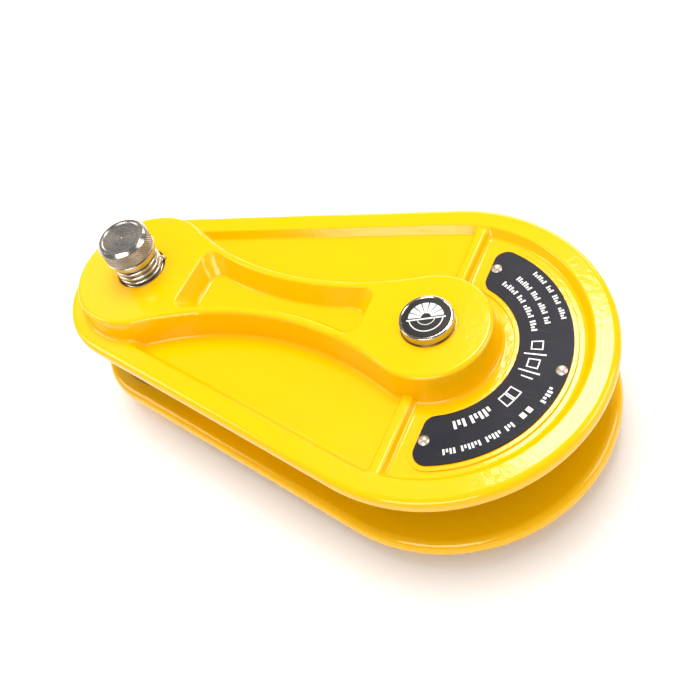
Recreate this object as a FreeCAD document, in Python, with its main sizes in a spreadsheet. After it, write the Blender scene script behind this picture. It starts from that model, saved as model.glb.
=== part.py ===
import FreeCAD, Part
import math
import os
import Sketcher

# Double sheave block: two ribbed cheeks with a rope sheave on the axle and a sling sheave on a post
# in line with it. The front cheek swings open about the axle once the spring latch is drawn.
# Millimetres. +Z is the way the front cheek faces, +X runs from the post towards the axle, and the
# origin is the rope sheave's centre, midway between the cheeks.

doc = FreeCAD.newDocument("double_sheave_block")

SIZES = {
    # frame
    "axle_spacing": 190, "cheek_gap": 40, "run_fit": 0.05, "seat_fit": 0.01, "side_gap": 0.1,
    # cheek plate
    "big_end_radius": 96, "small_end_radius": 55.2, "flange_thickness": 11,
    "outer_rounding": 4, "inner_rounding": 5, "rim_width": 13, "web_thickness": 5.6,
    "rim_draft": 35, "foot_round": 2.5, "rim_top_round": 1.5,
    # cheek's raised spine, its pocket and its ribs
    "spine_height": 25.5, "axle_boss_radius": 36.5, "post_boss_inset": 10,
    "waist_half_width": 18.036, "spine_draft": 6, "spine_top_round": 2.5,
    "pocket_wall": 4.3, "pocket_post_gap": 36, "pocket_axle_gap": 36.5, "pocket_depth": 12,
    "pocket_draft": 28, "pocket_corner": 8, "pocket_floor_round": 2.5, "pocket_top_round": 1.2,
    "rib_offset": -0.6, "rib_width": 9.2, "rib_drop": 1, "rib_draft": 25, "rib_top_round": 1.6,
    # rating plate and its seat
    "plate_boss_margin": 8.5, "plate_rim_margin": 10.2, "plate_rib_gap": 8.8, "plate_corner": 7,
    "plate_thickness": 1, "seat_border": 2.8, "seat_height": 1, "seat_edge_round": 0.6,
    "rivet_radius": 1.6, "rivet_head_radius": 3, "rivet_head_height": 1.5, "rivet_depth": 4,
    "rivet_end_inset": 3.2, "rivet_edge_inset": 3.6,
    # axle
    "axle_radius": 12, "axle_head_overhang": 6, "axle_head_thickness": 7, "head_recess": 0.5,
    "head_clearance": 0.3, "key_radius": 2, "key_length": 8,
    "swing_bush_wall": 3, "cheek_float": 0.15,
    "cap_overhang": 2.5, "cap_thickness": 5, "cap_stem_radius": 6, "cap_stem_length": 22,
    "cap_washer_inset": 0.5, "cap_washer_thickness": 0.8, "cap_rim": 1.8,
    "disc_recess": 1.2, "disc_thickness": 1,
    # rope sheave
    "rope_sheave_inset": 23, "rope_groove_depth": 16, "rope_groove_radius": 13.2,
    "rope_bush_wall": 5, "hub_wall": 8, "dish_depth": 5, "dish_rim": 5,
    "groove_flare": 15, "groove_lip_round": 1.2, "washer_thickness": 1, "washer_width": 10,
    # sling sheave and post
    "post_wall": 1.6, "spigot_step": 6, "post_spigot_length": 8, "sling_bush_wall": 3,
    "sling_tread_wall": 8.95, "sling_groove_depth": 15, "sling_groove_radius": 12,
    "sling_washer_width": 7, "post_gap": 0.5,
    "post_screw_radius": 6, "post_screw_head_radius": 10, "post_screw_head": 7.5,
    "post_screw_recess": 1, "post_screw_engagement": 22, "screw_hole_clearance": 0.4,
    "screw_washer_thickness": 1.5, "socket_radius": 5.8, "socket_depth": 5,
    "dowel_radius": 1.5, "dowel_length": 8, "dowel_inset": 3,
    # bayonet latch
    "latch_shaft_radius": 11, "lug_overhang": 2.5, "lug_width": 8, "lug_height": 4.2,
    "lug_recess": 0.5, "lug_clearance": 0.4, "bayonet_gap": 0.3, "latch_travel": 7.8,
    "socket_ring_thickness": 2.2, "socket_ring_ledge": 1.8, "chamber_clearance": 0.7,
    "guide_length": 9, "guide_wall": 2.5, "neck_step": 3, "latch_neck_length": 11,
    "spring_shaft_gap": 1, "spring_wire_radius": 1.1, "spring_turns": 5.4,
    "spring_clearance": 1, "spring_seat_thickness": 1,
    "tail_hole_radius": 1.4, "tail_hole_depth": 4, "tail_hole_angle": 39.6,
    "thrust_washer_thickness": 1, "thrust_washer_overhang": 0.1,
    # knob
    "knob_stand": 12.55, "knob_wall": 4.5, "knob_collar_step": 1, "knob_collar_height": 2.4,
    "knob_groove_depth": 2.3, "knob_groove_height": 1.4, "knob_band_height": 9.5,
    "knob_chamfer": 1.9, "knob_dish": 0.5, "knob_dish_margin": 1.6,
    "cross_pin_radius": 1.5, "cross_pin_recess": 1.5, "cross_pin_rise": 6.95,
    "cross_pin_angle": 56, "edge_break": 0.8,
}

sheet = doc.addObject("Spreadsheet::Sheet", "sizes")
for row, (alias, number) in enumerate(SIZES.items(), start=1):
    sheet.set(f"A{row}", alias)
    sheet.set(f"B{row}", str(number))
    sheet.setAlias(f"B{row}", alias)
doc.recompute()

subparts = []

# Heights and radii that several pieces share, as expressions over the sheet
FACE = "sizes.cheek_gap / 2"
BOSS = "(sizes.cheek_gap / 2 + sizes.spine_height)"
AXLE_END = f"({BOSS} + sizes.cheek_float)"
CAP_SEAT = f"({AXLE_END} + sizes.cap_washer_thickness)"
CAP_TOP = f"({CAP_SEAT} + sizes.cap_thickness)"
POST_TOP = "(sizes.cheek_gap / 2 - sizes.post_gap)"
LUG_TOP = "(sizes.lug_recess + sizes.lug_height)"
CHAMBER_TOP = f"({LUG_TOP} + sizes.bayonet_gap)"
GUIDE_TOP = f"({CHAMBER_TOP} + sizes.guide_length)"
SPRING_FOOT = f"({GUIDE_TOP} + sizes.spring_seat_thickness)"
SHEAVE_SIDE = "(sizes.cheek_gap / 2 - sizes.washer_thickness - sizes.side_gap)"
KNOB_FOOT = "(sizes.spine_height + sizes.knob_stand)"
CROSS_PIN_HEIGHT = f"({KNOB_FOOT} + sizes.cross_pin_rise)"
AXLE_HEAD = "(sizes.axle_radius + sizes.axle_head_overhang)"
KEY_OFFSET = "(sizes.axle_radius + sizes.axle_head_overhang / 2)"
CAP_RADIUS = "(sizes.axle_radius + sizes.cap_overhang)"
LUG_REACH = "(sizes.latch_shaft_radius + sizes.lug_overhang)"
CHAMBER_RADIUS = f"({LUG_REACH} + sizes.lug_clearance + sizes.chamber_clearance)"
SOCKET_RING = f"({CHAMBER_RADIUS} + sizes.socket_ring_ledge)"
POST_RADIUS = f"({SOCKET_RING} + sizes.post_wall)"
DOWEL_OFFSET = f"({POST_RADIUS} - sizes.dowel_inset)"
SPRING_RADIUS = (
    "(sizes.latch_shaft_radius + sizes.spring_shaft_gap + 2 * sizes.spring_wire_radius)"
)
SPRING_BORE = f"({SPRING_RADIUS} + sizes.spring_clearance)"
LATCH_NECK = "(sizes.latch_shaft_radius - sizes.neck_step)"
KNOB_RADIUS = "(sizes.latch_shaft_radius + sizes.knob_wall)"


def size(expression):
    """Value in millimetres or degrees of an expression over the sheet's sizes."""
    result = sheet.evalExpression(str(expression))
    return float(getattr(result, "Value", result))


def place(obj, x="0", z="0"):
    """Ties the object's position along X and Z to sizes."""
    obj.Placement = FreeCAD.Placement(FreeCAD.Vector(size(x), 0, size(z)), FreeCAD.Rotation())
    obj.setExpression("Placement.Base.x", f"({x}) * 1 mm")
    obj.setExpression("Placement.Base.z", f"({z}) * 1 mm")


def new_body(label):
    body = doc.addObject("PartDesign::Body", label)
    body.Label = label
    subparts.append(body)
    return body


def new_sketch(body, name, plane="XY_Plane", height=None):
    """Sketch on one of the body's own origin planes, raised by an expression."""
    sketch = body.newObject("Sketcher::SketchObject", f"{body.Label}_{name}")
    support = next(f for f in body.Origin.OriginFeatures if f.Role == plane)
    sketch.AttachmentSupport = [(support, "")]
    sketch.MapMode = "FlatFace"
    if height is not None:
        sketch.setExpression("AttachmentOffset.Base.z", f"({height}) * 1 mm")
    return sketch


def bind(sketch, kind, *where, to):
    """Adds a dimension to the sketch and ties it to an expression."""
    index = sketch.addConstraint(Sketcher.Constraint(kind, *where, size(to)))
    sketch.setExpression(f"Constraints[{index}]", f"({to})")


def pin_point(sketch, geometry, end, x, y):
    """Dimensions one point from the sketch's origin."""
    if size(x) == 0:
        sketch.addConstraint(Sketcher.Constraint("PointOnObject", geometry, end, -2))
    else:
        bind(sketch, "DistanceX", -1, 1, geometry, end, to=x)
    if size(y) == 0:
        sketch.addConstraint(Sketcher.Constraint("PointOnObject", geometry, end, -1))
    else:
        bind(sketch, "DistanceY", -1, 1, geometry, end, to=y)


def arc_between(start, end, radius, turn):
    """Minor arc of the radius: turn is 1 if it runs anticlockwise from start to end, else -1."""
    chord = end - start
    middle = (start + end) * 0.5
    left = FreeCAD.Vector(-chord.y, chord.x, 0).normalize()
    rise = math.sqrt(radius**2 - (chord.Length / 2) ** 2)
    centre = middle + left * (turn * rise)
    crest = centre + (middle - centre).normalize() * radius
    return Part.Arc(start, crest, end)


def outline(sketch, corners):
    """Closed run of lines and arcs through the corners. A corner is (x, y), or (x, y, radius, turn)
    where an arc leads on from it."""
    points = [FreeCAD.Vector(size(c[0]), size(c[1]), 0) for c in corners]
    ends = []
    for i, corner in enumerate(corners):
        start, end = points[i], points[(i + 1) % len(points)]
        if len(corner) == 2:
            sketch.addGeometry(Part.LineSegment(start, end))
            ends.append((1, 2))
        else:
            sketch.addGeometry(arc_between(start, end, size(corner[2]), corner[3]))
            ends.append((1, 2) if corner[3] > 0 else (2, 1))
    for i in range(len(corners)):
        following = (i + 1) % len(corners)
        meet = Sketcher.Constraint("Coincident", i, ends[i][1], following, ends[following][0])
        sketch.addConstraint(meet)
    for i, corner in enumerate(corners):
        pin_point(sketch, i, ends[i][0], corner[0], corner[1])
        if len(corner) > 2:
            bind(sketch, "Radius", i, to=corner[2])


def two_end_outline(sketch, big_radius, small_radius, waist=None):
    """Outline round the axle and the post: two end arcs joined by straight tangents, or by hollow
    tangent arcs of the waist radius."""
    span, big, small = size("sizes.axle_spacing"), size(big_radius), size(small_radius)
    post = FreeCAD.Vector(-span, 0, 0)
    up = FreeCAD.Vector(0, 0, 1)
    if waist is None:
        lean = math.asin((big - small) / span)
        touch = FreeCAD.Vector(-math.sin(lean), math.cos(lean), 0)
        big_touch, small_touch = touch * big, post + touch * small
    else:
        hollow = size(waist)
        along = (span**2 + (hollow + big) ** 2 - (hollow + small) ** 2) / (2 * span)
        centre = FreeCAD.Vector(-along, math.sqrt((hollow + big) ** 2 - along**2), 0)
        big_touch = centre * (big / (hollow + big))
        small_touch = post + (centre - post) * (small / (hollow + small))
    lower_big = FreeCAD.Vector(big_touch.x, -big_touch.y, 0)
    lower_small = FreeCAD.Vector(small_touch.x, -small_touch.y, 0)
    angle_big = math.atan2(big_touch.y, big_touch.x)
    angle_small = math.atan2(small_touch.y, small_touch.x + span)
    big_circle = Part.Circle(FreeCAD.Vector(), up, big)
    small_circle = Part.Circle(post, up, small)
    sketch.addGeometry(Part.ArcOfCircle(big_circle, -angle_big, angle_big))
    if waist is None:
        sketch.addGeometry(Part.LineSegment(big_touch, small_touch))
    else:
        sketch.addGeometry(arc_between(big_touch, small_touch, hollow, -1))
    sketch.addGeometry(
        Part.ArcOfCircle(small_circle, angle_small, 2 * math.pi - angle_small)
    )
    if waist is None:
        sketch.addGeometry(Part.LineSegment(lower_small, lower_big))
    else:
        sketch.addGeometry(arc_between(lower_small, lower_big, hollow, -1))
    side_start, side_end = (1, 2) if waist is None else (2, 1)
    joins = [(0, 2, 1, side_start), (1, side_end, 2, 1), (2, 2, 3, side_start),
             (3, side_end, 0, 1)]
    for join in joins:
        sketch.addConstraint(Sketcher.Constraint("Tangent", *join))
    sketch.addConstraint(Sketcher.Constraint("Coincident", 0, 3, -1, 1))
    sketch.addConstraint(Sketcher.Constraint("PointOnObject", 2, 3, -1))
    bind(sketch, "DistanceX", -1, 1, 2, 3, to="-sizes.axle_spacing")
    bind(sketch, "Radius", 0, to=big_radius)
    bind(sketch, "Radius", 2, to=small_radius)
    if waist is not None:
        bind(sketch, "Radius", 1, to=waist)
        bind(sketch, "Radius", 3, to=waist)


def extrude(body, sketch, length, kind="Pad", draft=None, down=False):
    """Pad or Pocket of a sketch, square or drafted."""
    feature = body.newObject(f"PartDesign::{kind}", f"{sketch.Label}_{kind.lower()}")
    feature.Profile = sketch
    feature.Reversed = down
    feature.setExpression("Length", f"({length}) * 1 mm")
    if draft is not None:
        feature.setExpression("TaperAngle", f"-({draft}) * 1 deg")
    sketch.Visibility = False
    doc.recompute()
    return feature


def turned(label, corners, x="0", z="0"):
    """Body turned about its own Z axis from a half section of (radius, height) corners."""
    body = new_body(label)
    sketch = new_sketch(body, "section", "XZ_Plane")
    outline(sketch, corners)
    revolution = body.newObject("PartDesign::Revolution", f"{label}_turn")
    revolution.Profile = sketch
    revolution.ReferenceAxis = (sketch, ["V_Axis"])
    revolution.Angle = 360
    place(body, x, z)
    doc.recompute()
    return body


def ring(label, inner, outer, bottom, top, x="0", z="0"):
    """Plain washer or bush."""
    return turned(label, [(inner, bottom), (outer, bottom), (outer, top), (inner, top)], x, z)


def bore(body, name, radius, bottom, depth, x="0", y="0"):
    """Round hole along the body's Z axis from the bottom height up."""
    hole = body.newObject("PartDesign::SubtractiveCylinder", f"{body.Label}_{name}")
    hole.setExpression("Radius", f"({radius}) * 1 mm")
    hole.setExpression("Height", f"({depth}) * 1 mm")
    hole.Placement.Base = FreeCAD.Vector(size(x), size(y), size(bottom))
    hole.setExpression("Placement.Base.x", f"({x}) * 1 mm")
    hole.setExpression("Placement.Base.y", f"({y}) * 1 mm")
    hole.setExpression("Placement.Base.z", f"({bottom}) * 1 mm")
    doc.recompute()
    return hole


def edges_where(feature, test):
    """Names of the edges of a feature's shape whose middle point and edge pass the test."""
    names = []
    for number, edge in enumerate(feature.Shape.Edges, start=1):
        middle = edge.valueAt((edge.FirstParameter + edge.LastParameter) / 2)
        if test(middle, edge):
            names.append(f"Edge{number}")
    return names


def round_edges(body, test, radius, name):
    """Fillet on the edges of the body's tip that pass the test."""
    base = body.Tip
    names = edges_where(base, test)
    fillet = body.newObject("PartDesign::Fillet", f"{body.Label}_{name}")
    fillet.Base = (base, names)
    fillet.setExpression("Radius", f"({radius}) * 1 mm")
    doc.recompute()
    return fillet


def at_height(height):
    """Test for edges that lie flat at a height."""
    level = size(height)
    return lambda middle, edge: abs(middle.z - level) < 1e-4 and all(
        abs(v.Point.z - level) < 1e-4 for v in edge.Vertexes
    )


def lies_on(sketch):
    """Test for edges whose middle lies on a sketch's outline."""
    lines = sketch.Shape
    return lambda middle, edge: lines.distToShape(Part.Vertex(middle))[0] < 1e-4


def runs_along_y(height):
    """Test for long straight edges at a height that run along Y."""
    level = size(height)
    return lambda middle, edge: (
        abs(middle.z - level) < 1e-4
        and isinstance(edge.Curve, Part.Line)
        and abs(edge.Curve.Direction.y) > 0.999
    )


def rises_between(low, high):
    """Test for edges that climb from one height to another, such as a pocket's corners."""
    def test(middle, edge):
        heights = sorted(v.Point.z for v in edge.Vertexes)
        reaches = [abs(found - wanted) < 1e-4 for found, wanted in zip(heights, (low, high))]
        return len(reaches) == 2 and all(reaches)
    return test


def rings_at(radius, *heights):
    """Test for full circles of a radius about the Z axis at any of the heights."""
    reach, levels = size(radius), [size(height) for height in heights]
    return lambda middle, edge: (
        isinstance(edge.Curve, Part.Circle)
        and abs(edge.Curve.Radius - reach) < 1e-4
        and any(abs(edge.Curve.Center.z - level) < 1e-4 for level in levels)
    )


# --- cheeks ---------------------------------------------------------------------------------------

POCKET_FLOOR = "(sizes.spine_height - sizes.pocket_depth)"
SEAT_TOP = "(sizes.web_thickness + sizes.seat_height)"
PLATE_TOP = f"({SEAT_TOP} + sizes.plate_thickness)"
HEAD_FLOOR = "(sizes.spine_height - sizes.head_recess - sizes.axle_head_thickness)"
SCREW_FLOOR = (
    "(sizes.spine_height - sizes.post_screw_recess - sizes.post_screw_head"
    " - sizes.screw_washer_thickness)"
)
POST_BOSS = "(sizes.small_end_radius - sizes.post_boss_inset)"
RIB_HEIGHT = "(sizes.flange_thickness - sizes.rib_drop)"

# The spine's hollow sides are arcs tangent to both bosses, with their centres WAIST_ALONG back from
# the axle and WAIST_ACROSS out from the middle line
AXLE_SWELL = "(sizes.axle_boss_radius - sizes.waist_half_width)"
POST_SWELL = f"({POST_BOSS} - sizes.waist_half_width)"
WAIST_SPAN = f"(sizes.axle_spacing^2 - {POST_SWELL} * ({POST_SWELL} - {AXLE_SWELL}))"
WAIST_ALONG = (
    f"({WAIST_SPAN} / (sizes.axle_spacing"
    f" + sqrt(sizes.axle_spacing^2 + ({POST_SWELL} / {AXLE_SWELL} - 1) * {WAIST_SPAN})))"
)
WAIST_RADIUS = (
    f"(({WAIST_ALONG}^2 / {AXLE_SWELL} - sizes.axle_boss_radius - sizes.waist_half_width) / 2)"
)
WAIST_ACROSS = f"({WAIST_RADIUS} + sizes.waist_half_width)"
POCKET_SIDE = (
    f"({WAIST_RADIUS} + sizes.spine_height * tan(sizes.spine_draft * 1 deg) + sizes.pocket_wall)"
)
PLATE_INNER = "(sizes.axle_boss_radius + sizes.plate_boss_margin)"
PLATE_OUTER = "(sizes.big_end_radius - sizes.rim_width - sizes.plate_rim_margin)"
PLATE_END = "(sizes.rib_offset + sizes.rib_width / 2 + sizes.plate_rib_gap)"
RIVET_END_X = f"({PLATE_END} + sizes.rivet_end_inset)"
RIVET_END_Y = f"sqrt((({PLATE_INNER} + {PLATE_OUTER}) / 2)^2 - {RIVET_END_X}^2)"
RIVET_SPOTS = [
    (RIVET_END_X, RIVET_END_Y),
    (RIVET_END_X, f"-{RIVET_END_Y}"),
    (f"({PLATE_OUTER} - sizes.rivet_edge_inset)", "0"),
]


def sector_outline(sketch, inner, outer, end):
    """Part ring about the axle, cut square across at x = end."""
    low, high = f"sqrt(({inner})^2 - ({end})^2)", f"sqrt(({outer})^2 - ({end})^2)"
    outline(sketch, [
        (end, f"-{high}", outer, 1),
        (end, high),
        (end, low, inner, -1),
        (end, f"-{low}"),
    ])


def cheek(label):
    """One forged cheek, lying with its inner face at height 0."""
    body = new_body(label)
    sketch = new_sketch(body, "plate")
    two_end_outline(sketch, "sizes.big_end_radius", "sizes.small_end_radius")
    extrude(body, sketch, "sizes.flange_thickness")
    round_edges(body, at_height("sizes.flange_thickness"), "sizes.outer_rounding", "outer_edge")
    round_edges(body, at_height("0"), "sizes.inner_rounding", "inner_edge")

    sketch = new_sketch(body, "recess", height="sizes.flange_thickness")
    two_end_outline(
        sketch,
        "sizes.big_end_radius - sizes.rim_width",
        "sizes.small_end_radius - sizes.rim_width",
    )
    depth = "sizes.flange_thickness - sizes.web_thickness"
    extrude(body, sketch, depth, "Pocket", draft="sizes.rim_draft")
    round_edges(body, lies_on(sketch), "sizes.rim_top_round", "rim_arris")
    round_edges(body, at_height("sizes.web_thickness"), "sizes.foot_round", "rim_foot")

    near = "sizes.rib_offset - sizes.rib_width / 2"
    far = "sizes.rib_offset + sizes.rib_width / 2"
    for name, side in (("upper_rib", ""), ("lower_rib", "-")):
        start = f"{side}(sizes.axle_boss_radius / 2)"
        end = f"{side}(sizes.big_end_radius - sizes.rim_width / 2)"
        sketch = new_sketch(body, name, height="sizes.web_thickness")
        outline(sketch, [(near, start), (far, start), (far, end), (near, end)])
        extrude(body, sketch, f"{RIB_HEIGHT} - sizes.web_thickness", draft="sizes.rib_draft")
    round_edges(body, runs_along_y(RIB_HEIGHT), "sizes.rib_top_round", "rib_edges")

    sketch = new_sketch(body, "spine")
    two_end_outline(sketch, "sizes.axle_boss_radius", POST_BOSS, WAIST_RADIUS)
    extrude(body, sketch, "sizes.spine_height", draft="sizes.spine_draft")
    round_edges(body, at_height("sizes.web_thickness"), "sizes.foot_round", "web_foot")
    round_edges(body, at_height("sizes.spine_height"), "sizes.spine_top_round", "spine_edge")
    sink_pocket(body)
    add_plate_seat(body)
    return body


def sink_pocket(body):
    """Tapered pocket along the middle of the spine, its long sides a wall's width inside the waist."""
    sketch = new_sketch(body, "pocket", height="sizes.spine_height")
    left = "(sizes.pocket_post_gap - sizes.axle_spacing)"
    right = "-sizes.pocket_axle_gap"
    left_y = f"({WAIST_ACROSS} - sqrt({POCKET_SIDE}^2 - ({left} + {WAIST_ALONG})^2))"
    right_y = f"({WAIST_ACROSS} - sqrt({POCKET_SIDE}^2 - ({right} + {WAIST_ALONG})^2))"
    outline(sketch, [
        (left, f"-{left_y}", POCKET_SIDE, -1),
        (right, f"-{right_y}"),
        (right, right_y, POCKET_SIDE, -1),
        (left, left_y),
    ])
    extrude(body, sketch, "sizes.pocket_depth", "Pocket", draft="sizes.pocket_draft")
    floor, top = size(POCKET_FLOOR), size("sizes.spine_height")
    round_edges(body, rises_between(floor, top), "sizes.pocket_corner", "pocket_corners")
    round_edges(body, at_height(POCKET_FLOOR), "sizes.pocket_floor_round", "pocket_floor")
    round_edges(body, lies_on(sketch), "sizes.pocket_top_round", "pocket_arris")


def add_plate_seat(body):
    """Low raised seat for the rating plate, with the rivet holes."""
    sketch = new_sketch(body, "seat")
    sector_outline(
        sketch,
        f"{PLATE_INNER} - sizes.seat_border",
        f"{PLATE_OUTER} + sizes.seat_border",
        f"{PLATE_END} - sizes.seat_border",
    )
    extrude(body, sketch, SEAT_TOP)
    upright = rises_between(size("sizes.web_thickness"), size(SEAT_TOP))
    corner_radius = "sizes.plate_corner + sizes.seat_border"
    round_edges(body, upright, corner_radius, "seat_corners")
    round_edges(body, at_height(SEAT_TOP), "sizes.seat_edge_round", "seat_edge")


def front_cheek():
    body = cheek("front_cheek")
    for number, (x, y) in enumerate(RIVET_SPOTS, start=1):
        bottom = f"({PLATE_TOP} - sizes.plate_thickness - sizes.rivet_depth)"
        bore(body, f"rivet_hole_{number}", "sizes.rivet_radius + sizes.seat_fit", bottom,
             "sizes.rivet_depth + 1", x, y)
    bush = "sizes.axle_radius + sizes.run_fit + sizes.swing_bush_wall + sizes.seat_fit"
    bore(body, "swing_bore", bush, "0", "sizes.spine_height")
    post = "-sizes.axle_spacing"
    guide = "sizes.latch_shaft_radius + sizes.run_fit + sizes.guide_wall + sizes.seat_fit"
    bore(body, "lug_chamber", CHAMBER_RADIUS, "0", CHAMBER_TOP, post)
    bore(body, "guide_bore", guide, CHAMBER_TOP, "sizes.guide_length", post)
    bore(body, "spring_bore", SPRING_BORE, GUIDE_TOP,
         f"sizes.spine_height - {GUIDE_TOP}", post)
    spring_mouth = rings_at(SPRING_BORE, "sizes.spine_height")
    round_edges(body, spring_mouth, "sizes.edge_break", "spring_mouth")
    bore(body, "tail_hole", "sizes.tail_hole_radius",
         "sizes.spine_height - sizes.tail_hole_depth", "sizes.tail_hole_depth",
         f"{SPRING_BORE} * cos(sizes.tail_hole_angle * 1 deg) - sizes.axle_spacing",
         f"{SPRING_BORE} * sin(sizes.tail_hole_angle * 1 deg)")
    place(body, z=FACE)


def back_cheek():
    """The same forging turned over, with counterbores for the axle's head and the post's screw."""
    body = cheek("back_cheek")
    post = "-sizes.axle_spacing"
    bore(body, "axle_bore", "sizes.axle_radius + sizes.seat_fit", "0", "sizes.spine_height")
    head = f"{AXLE_HEAD} + sizes.head_clearance"
    bore(body, "head_counterbore", head, HEAD_FLOOR, f"sizes.spine_height - {HEAD_FLOOR}")
    half_key = "sizes.key_length / 2"
    bore(body, "key_hole", "sizes.key_radius + sizes.seat_fit", f"{HEAD_FLOOR} - {half_key}",
         half_key, KEY_OFFSET)
    bore(body, "spigot_hole", f"{POST_RADIUS} - sizes.spigot_step + sizes.seat_fit", "0",
         "sizes.post_spigot_length", post)
    screw = "sizes.post_screw_radius + sizes.screw_hole_clearance"
    bore(body, "screw_hole", screw, "0", "sizes.spine_height", post)
    head = "sizes.post_screw_head_radius + sizes.head_clearance"
    bore(body, "screw_counterbore", head, SCREW_FLOOR,
         f"sizes.spine_height - {SCREW_FLOOR}", post)
    for name, side in (("upper", ""), ("lower", "-")):
        bore(body, f"{name}_dowel_hole", "sizes.dowel_radius + sizes.seat_fit", "0",
             "sizes.dowel_length / 2", post, f"{side}{DOWEL_OFFSET}")
    base = FreeCAD.Vector(0, 0, -size(FACE))
    body.Placement = FreeCAD.Placement(base, FreeCAD.Rotation(FreeCAD.Vector(1, 0, 0), 180))
    body.setExpression("Placement.Base.z", "-sizes.cheek_gap / 2 * 1 mm")


# --- rating plate ---------------------------------------------------------------------------------

def rating_plate():
    body = new_body("rating_plate")
    sketch = new_sketch(body, "blank")
    sector_outline(sketch, PLATE_INNER, PLATE_OUTER, PLATE_END)
    extrude(body, sketch, "sizes.plate_thickness")
    upright = rises_between(0, size("sizes.plate_thickness"))
    round_edges(body, upright, "sizes.plate_corner", "corners")
    for number, (x, y) in enumerate(RIVET_SPOTS, start=1):
        bore(body, f"hole_{number}", "sizes.rivet_radius + sizes.seat_fit", "0",
             "sizes.plate_thickness", x, y)
    place(body, z=f"({FACE} + {SEAT_TOP})")


def plate_rivets():
    """Three domed rivets through the plate into the cheek."""
    rivets = []
    dome = "((sizes.rivet_head_radius^2 + sizes.rivet_head_height^2) / (2 * sizes.rivet_head_height))"
    for number, (x, y) in enumerate(RIVET_SPOTS, start=1):
        shank = doc.addObject("Part::Cylinder", f"rivet_shank_{number}")
        shank.setExpression("Radius", "sizes.rivet_radius * 1 mm")
        shank.setExpression("Height", "(sizes.rivet_depth + sizes.plate_thickness) * 1 mm")
        shank.setExpression("Placement.Base.z", f"({PLATE_TOP} - sizes.plate_thickness"
                            f" - sizes.rivet_depth + {FACE}) * 1 mm")
        head = doc.addObject("Part::Sphere", f"rivet_head_{number}")
        head.setExpression("Radius", f"{dome} * 1 mm")
        head.setExpression("Angle1", f"asin(1 - sizes.rivet_head_height / {dome})")
        head.setExpression("Placement.Base.z", f"({FACE} + {PLATE_TOP}"
                           f" + sizes.rivet_head_height - {dome}) * 1 mm")
        for piece in (shank, head):
            piece.setExpression("Placement.Base.x", f"{x} * 1 mm")
            piece.setExpression("Placement.Base.y", f"{y} * 1 mm")
        rivet = doc.addObject("Part::MultiFuse", f"rivet_{number}")
        rivet.Shapes = [shank, head]
        rivets.append(rivet)
    group = doc.addObject("Part::Compound", "plate_rivets")
    group.Label = "plate_rivets"
    group.Links = rivets
    subparts.append(group)
    doc.recompute()


# --- axle and what is on it -----------------------------------------------------------------------

def break_rim(body, height):
    """Small chamfer round the outermost edge at a height."""
    level = [e for e in body.Tip.Shape.Edges if at_height(height)(e.Vertexes[0].Point, e)]
    radius = max(e.Curve.Radius for e in level)
    base = body.Tip
    chamfer = body.newObject("PartDesign::Chamfer", f"{body.Label}_break")
    chamfer.Base = (base, edges_where(base, rings_at(radius, height)))
    chamfer.setExpression("Size", "sizes.edge_break * 1 mm")
    doc.recompute()


def axle():
    """Headed axle, its head sunk in the back cheek and its far end tapped for the cap."""
    head_back = f"-({BOSS} - sizes.head_recess)"
    head_front = f"({head_back} + sizes.axle_head_thickness)"
    stem = "sizes.cap_stem_radius + sizes.seat_fit"
    body = turned("axle", [
        ("0", head_back),
        (AXLE_HEAD, head_back),
        (AXLE_HEAD, head_front),
        ("sizes.axle_radius", head_front),
        ("sizes.axle_radius", AXLE_END),
        (stem, AXLE_END),
        (stem, f"{AXLE_END} - sizes.cap_stem_length"),
        ("0", f"{AXLE_END} - sizes.cap_stem_length"),
    ])
    bore(body, "key_hole", "sizes.key_radius + sizes.seat_fit",
         f"{head_front} - sizes.key_length / 2", "sizes.key_length / 2", KEY_OFFSET)
    break_rim(body, head_back)
    key = doc.addObject("Part::Cylinder", "axle_key")
    key.Label = "axle_key"
    key.setExpression("Radius", "sizes.key_radius * 1 mm")
    key.setExpression("Height", "sizes.key_length * 1 mm")
    key.setExpression("Placement.Base.x", f"{KEY_OFFSET} * 1 mm")
    key.setExpression("Placement.Base.z", f"({head_front} - sizes.key_length / 2) * 1 mm")
    subparts.append(key)


def axle_cap():
    """Screwed cap that holds the front cheek on, with a sunk disc in its face."""
    stem = "sizes.cap_stem_radius + sizes.seat_fit"
    ring("cap_washer", stem, f"{CAP_RADIUS} - sizes.cap_washer_inset", AXLE_END, CAP_SEAT)
    disc = f"({CAP_RADIUS} - sizes.cap_rim)"
    recess = f"{disc} + sizes.seat_fit"
    floor = f"({CAP_TOP} - sizes.disc_recess)"
    length = "(sizes.cap_stem_length - sizes.edge_break)"
    body = turned("axle_cap", [
        ("0", f"{AXLE_END} - {length}"),
        ("sizes.cap_stem_radius", f"{AXLE_END} - {length}"),
        ("sizes.cap_stem_radius", CAP_SEAT),
        (CAP_RADIUS, CAP_SEAT),
        (CAP_RADIUS, CAP_TOP),
        (recess, CAP_TOP),
        (recess, floor),
        ("0", floor),
    ])
    break_rim(body, CAP_TOP)
    turned("cap_disc", [
        ("0", floor),
        (disc, floor),
        (disc, f"{floor} + sizes.disc_thickness"),
        ("0", f"{floor} + sizes.disc_thickness"),
    ])


def side_washers(stem, inner, width, x="0"):
    """Thrust washers between a sheave's sides and the cheeks."""
    start = f"({SHEAVE_SIDE} + sizes.side_gap / 2)"
    outer = f"{inner} + {width}"
    thickness = "sizes.washer_thickness - sizes.side_gap"
    ring(f"{stem}_front_washer", inner, outer, start, f"{start} + {thickness}", x)
    ring(f"{stem}_back_washer", inner, outer, f"-({start} + {thickness})", f"-{start}", x)


# --- sheaves --------------------------------------------------------------------------------------

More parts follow.
